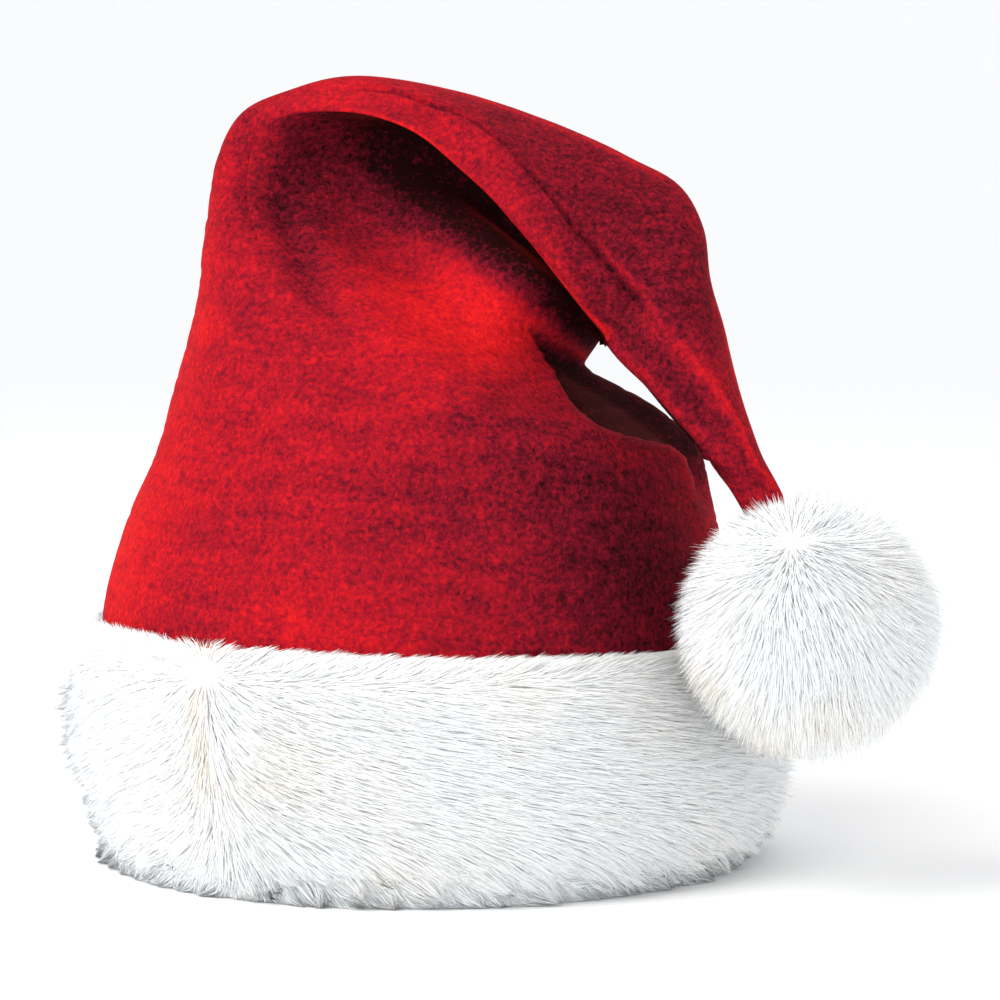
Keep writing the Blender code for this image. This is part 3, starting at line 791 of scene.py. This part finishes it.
def brimFlows(roots, outs, heights):
    comb = brimComb
    levelWay = unit(np.cross((0.0, 0.0, 1.0), outs))  # to the right as seen from the front
    turn = turnOf(roots)
    fromParting = turn - partingAt(heights)
    more, height = comb["foot"]
    down = -comb["down"] - more * np.clip(1 - heights / height, 0, 1)
    more, start, span = comb["back"]
    back = np.clip((np.abs(turn) - start) / span, 0, 1)
    down -= more * back
    more, degrees, start, span = comb["left"]
    down -= more * np.clip(-fromParting / degrees, 0, 1) * np.clip((heights - start) / span, 0, 1)
    more, width = comb["atParting"]
    down -= more * bell(fromParting, width)
    atTop = between(*comb["top"], heights)
    up, least, span = comb["topUp"]
    upright = down * (1 - atTop) + up * atTop * (least + (1 - least) * between(*span, np.abs(fromParting)))
    sideways = np.tanh(fromParting / comb["partingWidth"]) * (1 - back)
    flow = levelWay * sideways[:, None] + np.array((0, 0, 1.0)) * upright[:, None]
    flow -= outs * (flow * outs).sum(axis=1, keepdims=True)
    return unit(flow)


def brimTop(points):  # keeps the fur's upper edge on the line where it meets the plush
    turnKnots, heightKnots = np.array(brimRoll["topLine"]).T
    turns = turnOf(points)
    wisps = sum(np.sin(turns * often + shift) for often, shift in brimFur["wisps"])
    top = np.interp(turns, turnKnots, heightKnots) - brimFur["topSunk"] + brimFur["wispHeight"] * wisps
    above = points[:, 2] - top
    points = points.copy()
    points[:, 2] = np.where(above > 0, top + above * brimFur["topGives"], points[:, 2])
    return points


def brimSpread(count, rng, rings, normals):  # roots, and how the fur lies at each
    fur = brimFur
    climb = np.abs(np.diff(rings.mean(axis=1)[:, 2])) + 0.0008  # a little more for the level parts
    rise = np.concatenate([[0], np.cumsum(climb)])
    rows = np.interp(rng.uniform(0, rise[-1] * fur["topShare"], count), rise, np.arange(len(rings)))
    columns = rng.uniform(0, rings.shape[1], count)
    roots = sampleGrid(rings, rows, columns)
    outs = unit(sampleGrid(normals, rows, columns))
    heights = roots[:, 2] / fur["height"]
    flows = brimFlows(roots, outs, heights)
    scale = np.ones(count)
    for less, span in fur["shorter"]:
        scale *= 1 + less * between(*span, heights)
    raised = sum(degrees * between(*span, heights) for degrees, span in fur["lower"])
    longer = 1.0
    for side, (span, more, higher) in ((1, fur["right"]), (-1, fur["left"])):
        share = sideShare(roots, side) * between(*span, heights)
        longer = longer + more * share
        raised += higher * share
    scale *= longer
    return roots, outs, flows, scale, raised, between(*fur["foot"], heights)


def brimTufts(rings, normals):
    fur = brimFur
    rng = np.random.default_rng(7)
    heads = brimSpread(fur["tuftCount"], rng, rings, normals)
    kept = rng.uniform(size=len(heads[0])) > fur["fewerAtFoot"] * heads[5]
    roots, outs, flows, scale, raised, foot = [values[kept] for values in heads]
    uneven = fur["tuftUneven"] + (fur["footUneven"] - fur["tuftUneven"]) * foot
    scale = scale * (1 + uneven * rng.normal(size=len(foot)).clip(-fur["mostUneven"], fur["mostUneven"]))
    standing = rng.uniform(*fur["footStanding"], len(foot)) * foot + fur["standing"] * rng.normal(size=len(foot))
    standing += rng.uniform(*fur["leftStanding"], len(foot)) * leftEdge(roots)
    return roots, outs, flows, scale, raised + standing


def brimTones(roots, rng):
    look = brimTone
    tones = furTones(roots, look["patchiness"], rng)
    heights = roots[:, 2] / brimFur["height"]
    turn = turnOf(roots)
    tone, width, span = look["parting"]
    tones = tones + tone * bell(turn - partingAt(heights), width) * within(span, heights)
    tone, middle, width, span = look["besideBall"]
    tones = tones + tone * bell(turn - middle, width) * between(*span, heights)
    tone, span = look["left"]
    tones = tones + tone * between(*span, turn)
    share, span = look["footShadedTips"]
    grey = share * between(*span, heights) + look["leftEdgeShadedTips"] * leftEdge(roots)
    share, middle, width, span = look["rightEdgeShadedTips"]
    grey += share * bell(turn - middle, width) * between(*span, heights)
    return withGreyTips(tones, grey, rng)


def growBrimFur():
    fur = brimFur
    rings, out, _ = brimGrid()
    normals = gridNormals(rings)
    if (normals[len(rings) // 2] * out).sum() < 0:
        normals = -normals
    heads = brimTufts(rings, normals)
    pieces = []
    for part in range(fur["parts"]):
        rng = np.random.default_rng(11 + part)
        *spread, foot = brimSpread(fur["blades"], rng, rings, normals)
        tones = brimTones(spread[0], rng)
        drawn = 1 + fur["footDrawn"] * foot.clip(leftEdge(spread[0]) * fur["leftDrawn"])
        pieces.append(growFur("brimFur" + str(part + 1), fur, spread, heads, tones, rng, drawn, brimTop))
    return pieces


brimBase = makeBrimRoll()
brimPieces = growBrimFur()
print("brim made,", len(brimPieces) * brimFur["blades"], "blades of fur")


# pompom: a ball of fur, parted where it is sewn on

pompomFur = {
    "length": 0.0129,
    "uneven": 0.2,
    "lift": 31.0,
    "liftSpread": 7.0,
    "stray": 0.16,
    "droop": 0.03,
    "tuftCount": 1500,
    "tuftUneven": 0.14,
    "mostUneven": 1.5,
    "pull": 0.18,
    "twist": 12.0,
    "width": 0.00024,
    "softness": 0.95,
    "blades": 55000,
    "scatter": 0.02,
    "parting": (-0.08, -0.8, 0.58),  # the way to where the fur spreads from
    "partingWidth": 34,
    "partingFlow": (0.35, 0.0, -0.85),  # the way it lies there
    "partingHigher": 8,
    "swirl": 0.4,
    "swirlsAcross": 2.2,
    "meeting": 0.42,  # how weak the flow is where ways meet
    "meetingLower": 12,
    "patchiness": 55,
    "shade": (-0.26, (-0.72, -0.28, -0.62), (0.72, 0.92)),  # painted shade towards the brim: tone, way and span
    "rimShadedTips": (0.28, (0.08, -0.99, 0.1), (0.42, 0.18)),  # painted shade round the ball's rim as seen from the front: share of grey tips, the way to the eye, and span
}
pompomBall = {
    "centre": (0.1126, -0.084, 0.0798),
    "core": 0.0312,
    "rings": 40,
    "pointsAround": 64,
    "openEnd": 0.04,
    "lumps": 0.0008,
    "lumpsAcross": 5,
}


def ballWays(tilt, turn):
    return np.stack([np.sin(tilt) * np.cos(turn), np.sin(tilt) * np.sin(turn), np.cos(tilt)], axis=-1)


def makePompomCore():
    ball = pompomBall
    tilts = np.linspace(ball["openEnd"], math.pi - ball["openEnd"], ball["rings"])
    turns = np.arange(ball["pointsAround"]) * 2 * math.pi / ball["pointsAround"]
    ways = ballWays(*np.meshgrid(tilts, turns, indexing="ij"))
    lumps = np.array([noise.noise(Vector(w) * ball["lumpsAcross"]) for w in ways.reshape(-1, 3)])
    sizes = ball["core"] + ball["lumps"] * lumps.reshape(ways.shape[:2])
    grid = hatMiddle + ball["centre"] + ways * sizes[..., None]
    return makePiece("pompomCore", grid.reshape(-1, 3), ringQuads(ball["rings"], ball["pointsAround"]))


def swirlAt(way):
    return [noise.noise(Vector(way) * pompomFur["swirlsAcross"] + Vector((7 * k, 0, 0))) for k in range(3)]


def pompomSpread(count, rng):
    fur = pompomFur
    parting = unit(np.array(fur["parting"]))
    spots = np.arange(count) + 0.5  # an even spiral over the ball
    outs = ballWays(np.arccos(1 - 2 * spots / count), math.pi * (1 + 5 ** 0.5) * spots)
    outs = unit(outs + rng.normal(size=outs.shape) * fur["scatter"])
    fromParting = np.degrees(np.arccos(np.clip(outs @ parting, -1, 1)))
    pole = bell(fromParting, fur["partingWidth"])
    flows = outs - parting
    flows -= outs * (flows * outs).sum(axis=1, keepdims=True)
    flows = unit(flows) * (1 - pole)[:, None] + np.array(fur["partingFlow"]) * pole[:, None]
    flows += np.array([swirlAt(way) for way in outs]) * fur["swirl"]
    flows -= outs * (flows * outs).sum(axis=1, keepdims=True)
    meeting = bell(np.linalg.norm(flows, axis=1), fur["meeting"])
    roots = hatMiddle + pompomBall["centre"] + outs * pompomBall["core"]
    return roots, outs, unit(flows), np.ones(count), fur["partingHigher"] * pole - fur["meetingLower"] * meeting


def growPompomFur():
    fur = pompomFur
    rng = np.random.default_rng(5)
    *heads, headRaised = pompomSpread(fur["tuftCount"], rng)
    unevenness = rng.normal(size=fur["tuftCount"]).clip(-fur["mostUneven"], fur["mostUneven"])
    heads = (*heads[:3], 1 + fur["tuftUneven"] * unevenness, headRaised)
    spread = pompomSpread(fur["blades"], rng)
    roots, outs = spread[:2]
    tone, way, span = fur["shade"]
    tones = furTones(roots, fur["patchiness"], rng) + tone * between(*span, outs @ unit(np.array(way)))
    share, way, span = fur["rimShadedTips"]
    grey = share * between(*span, np.abs(outs @ np.array(way)))
    return growFur("pompomFur", fur, spread, heads, withGreyTips(tones, grey, rng), rng)


pompomCore = makePompomCore()
pompomHair = growPompomFur()
print("pompom made,", pompomFur["blades"], "blades of fur")


# materials

redPlush = {
    "colours": (  # place on the scale of tones, and colour: from the darkest, where shade is painted, to the lightest, where highlights are painted
        (0.02, (0.013, 0.002, 0.0024)),
        (0.26, (0.12, 0.0045, 0.013)),
        (0.5, (0.32, 0.0065, 0.015)),
        (0.74, (0.58, 0.0095, 0.0125)),
        (0.95, (0.78, 0.019, 0.015)),
    ),
    "roughness": 0.9,
    "specular": 0.04,
    "sheen": 0.12,
    "sheenRoughness": 0.35,
    "sheenTint": (1.0, 0.06, 0.05),
    "grain": {"Scale": 640.0, "Detail": 3.0, "Roughness": 0.75, "Distortion": 0.5},  # specks of nap
    "mottle": {"Scale": 170.0, "Detail": 3.0, "Roughness": 0.6, "Distortion": 0.3},
    "streaks": {"Scale": 34.0, "Detail": 5.0, "Roughness": 0.65, "Distortion": 0.2},
    "streaksUpward": 8.0,  # how much closer the streaks lie upward than sideways
    "grainShare": 1.05,
    "mottleShare": 0.3,
    "streaksShare": 0.3,
    "shift": -0.845,
    "reliefStrength": 0.5,
    "reliefDepth": 0.0005,
}
whiteFur = {
    # a slightly darker, warmer root: painted shade deep among the hairs
    "root": (0.92, 0.915, 0.9),
    "tones": (  # from cream, which the painted shade in crevices reaches, to cool white
        (0.02, (0.82, 0.76, 0.64)),
        (0.14, (0.945, 0.935, 0.905)),
        (0.42, (0.935, 0.95, 0.958)),
        (0.8, (0.88, 0.92, 0.945)),
    ),
    # grey of the tips that paint shade at the fur's foot and edges, and of a few at random
    "tip": (0.27, 0.29, 0.31),
    "rootEnds": (0.0, 0.45),  # along the blade
    "greyFrom": (0.9, 0.93),  # tones above this have a grey tip
    "tipBegins": (0.35, 0.8),
    "roughness": 0.8,
    "specular": 0.15,
    "baseRoughness": 0.9,
    "pile": {"Scale": 500.0, "Detail": 3.0},
    "pileColours": ((0.35, (0.92, 0.915, 0.9)), (0.7, (0.945, 0.935, 0.905))),
    "reliefStrength": 0.6,
    "reliefDepth": 0.001,
}


def addNode(tree, kind, **settings):
    node = tree.nodes.new(kind)
    for key, value in settings.items():
        if key in node.inputs:
            node.inputs[key].default_value = value
        else:
            setattr(node, key, value)
    return node


def addRamp(tree, source, stops):
    ramp = tree.nodes.new("ShaderNodeValToRGB")
    bar = ramp.color_ramp
    while len(bar.elements) < len(stops):
        bar.elements.new(0.5)
    for element, (place, colour) in zip(bar.elements, stops):
        element.position = place
        element.color = (*colour, 1.0)
    tree.links.new(source, ramp.inputs["Fac"])
    return ramp.outputs["Color"]


def addStep(tree, source, low, high):  # black below low, white above high
    return addRamp(tree, source, ((low, (0.0, 0.0, 0.0)), (high, (1.0, 1.0, 1.0))))


def mixColours(tree, share, colours):  # each of the two is a colour or an output
    node = addNode(tree, "ShaderNodeMix", data_type="RGBA")
    for socket, colour in zip([s for s in node.inputs if s.type == "RGBA"], colours):
        if isinstance(colour, tuple):
            socket.default_value = (*colour, 1.0)
        else:
            tree.links.new(colour, socket)
    tree.links.new(share, node.inputs["Factor"])
    return [s for s in node.outputs if s.type == "RGBA"][0]


def weighted(tree, source, weight, rest):  # source times weight, plus the rest
    node = addNode(tree, "ShaderNodeMath", operation="MULTIPLY_ADD")
    tree.links.new(source, node.inputs[0])
    for socket, value in zip(node.inputs[1:], (weight, rest)):
        if isinstance(value, float):
            socket.default_value = value
        else:
            tree.links.new(value, socket)
    return node.outputs[0]


def addRelief(tree, shader, height, look):
    relief = addNode(tree, "ShaderNodeBump", Strength=look["reliefStrength"], Distance=look["reliefDepth"])
    tree.links.new(height, relief.inputs["Height"])
    tree.links.new(relief.outputs["Normal"], shader.inputs["Normal"])


def makeRedPlush():
    look = redPlush
    material, tree, shader = newMaterial("redPlush")
    places = addNode(tree, "ShaderNodeTexCoord").outputs["Object"]
    level = addNode(tree, "ShaderNodeMapping")
    level.inputs["Scale"].default_value = (1.0, 1.0, look["streaksUpward"])
    tree.links.new(places, level.inputs["Vector"])
    textures = {}
    for name, source in (("grain", places), ("mottle", places), ("streaks", level.outputs["Vector"])):
        texture = addNode(tree, "ShaderNodeTexNoise", **look[name])
        tree.links.new(source, texture.inputs["Vector"])
        textures[name] = texture.outputs["Fac"]
    # painted light and shade on the plush, and its dark seam line, read from the points
    nap = addNode(tree, "ShaderNodeAttribute", attribute_name="napTone")
    grain = weighted(tree, textures["mottle"], look["mottleShare"], 0.0)
    grain = weighted(tree, textures["grain"], look["grainShare"], grain)
    toned = weighted(tree, textures["streaks"], look["streaksShare"], grain)
    toned = weighted(tree, toned, 1.0, look["shift"])
    toned = weighted(tree, nap.outputs["Fac"], 1.0, toned)
    tree.links.new(addRamp(tree, toned, look["colours"]), shader.inputs["Base Color"])
    shader.inputs["Roughness"].default_value = look["roughness"]
    shader.inputs["Specular IOR Level"].default_value = look["specular"]
    shader.inputs["Sheen Weight"].default_value = look["sheen"]
    shader.inputs["Sheen Roughness"].default_value = look["sheenRoughness"]
    shader.inputs["Sheen Tint"].default_value = (*look["sheenTint"], 1.0)
    addRelief(tree, shader, grain, look)
    return material


def makeBladeFur():
    look = whiteFur
    material, tree, shader = newMaterial("whiteFurBlades")
    places = addNode(tree, "ShaderNodeUVMap", uv_map="OFBake")
    parts = addNode(tree, "ShaderNodeSeparateXYZ")
    tree.links.new(places.outputs["UV"], parts.inputs[0])
    tone, along = parts.outputs["X"], parts.outputs["Y"]
    beyondRoot = addStep(tree, along, *look["rootEnds"])
    colour = mixColours(tree, beyondRoot, (look["root"], addRamp(tree, tone, look["tones"])))
    greyTip = addNode(tree, "ShaderNodeMath", operation="MULTIPLY")
    tree.links.new(addStep(tree, tone, *look["greyFrom"]), greyTip.inputs[0])
    tree.links.new(addStep(tree, along, *look["tipBegins"]), greyTip.inputs[1])
    colour = mixColours(tree, greyTip.outputs[0], (colour, look["tip"]))
    tree.links.new(colour, shader.inputs["Base Color"])
    shader.inputs["Roughness"].default_value = look["roughness"]
    shader.inputs["Specular IOR Level"].default_value = look["specular"]
    return material


def makeBaseFur():
    look = whiteFur
    material, tree, shader = newMaterial("whiteFurBase")
    places = addNode(tree, "ShaderNodeTexCoord").outputs["Object"]
    pile = addNode(tree, "ShaderNodeTexNoise", **look["pile"])
    tree.links.new(places, pile.inputs["Vector"])
    colour = addRamp(tree, pile.outputs["Fac"], look["pileColours"])
    tree.links.new(colour, shader.inputs["Base Color"])
    shader.inputs["Roughness"].default_value = look["baseRoughness"]
    addRelief(tree, shader, pile.outputs["Fac"], look)
    return material


redMaterial, bladeMaterial, baseMaterial = makeRedPlush(), makeBladeFur(), makeBaseFur()
crown.data.materials.append(redMaterial)
for piece in (*brimPieces, pompomHair):
    piece.data.materials.append(bladeMaterial)
for piece in (brimBase, pompomCore):
    piece.data.materials.append(baseMaterial)
print("materials made")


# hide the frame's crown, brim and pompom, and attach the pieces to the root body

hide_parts("crown")
for piece in (brimBase, *brimPieces):
    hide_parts("brim")
for piece in (pompomCore, pompomHair):
    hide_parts("pompom")
for piece in (crown, brimBase, *brimPieces, pompomCore, pompomHair):
    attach(piece, "root")
